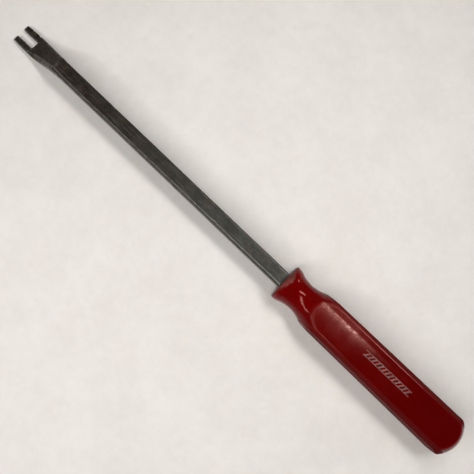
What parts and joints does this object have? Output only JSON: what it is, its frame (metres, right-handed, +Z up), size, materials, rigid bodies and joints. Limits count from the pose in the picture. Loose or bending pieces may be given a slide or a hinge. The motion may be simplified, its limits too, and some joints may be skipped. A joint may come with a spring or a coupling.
{
  "type": "pry bar",
  "caption": "Square-bar pry bar with a cranked, forked tip for prying and lifting, and a moulded four-sided grip with a round waist.",
  "frame": {"origin": "on the supporting surface, under the middle of the tool, halfway between the fork's tips and the end of the handle", "axes": "+X runs along the bar from the fork to the end of the handle, +Y is across the fork, +Z is up, out of the handle's upper flat"},
  "size_m": [0.42, 0.0284, 0.0275],
  "materials": {
    "tool_steel": "dark oiled forging scale, worn bright along the edges",
    "red_acetate": "deep red moulded plastic, polished at the waist and scuffed on the flats",
    "stamping_foil": "thin worn metallic foil"
  },
  "bodies": {
    "root": {"forked_bar": "tool_steel", "handle": "red_acetate", "foil_band": "stamping_foil"}
  },
  "joints": []
}
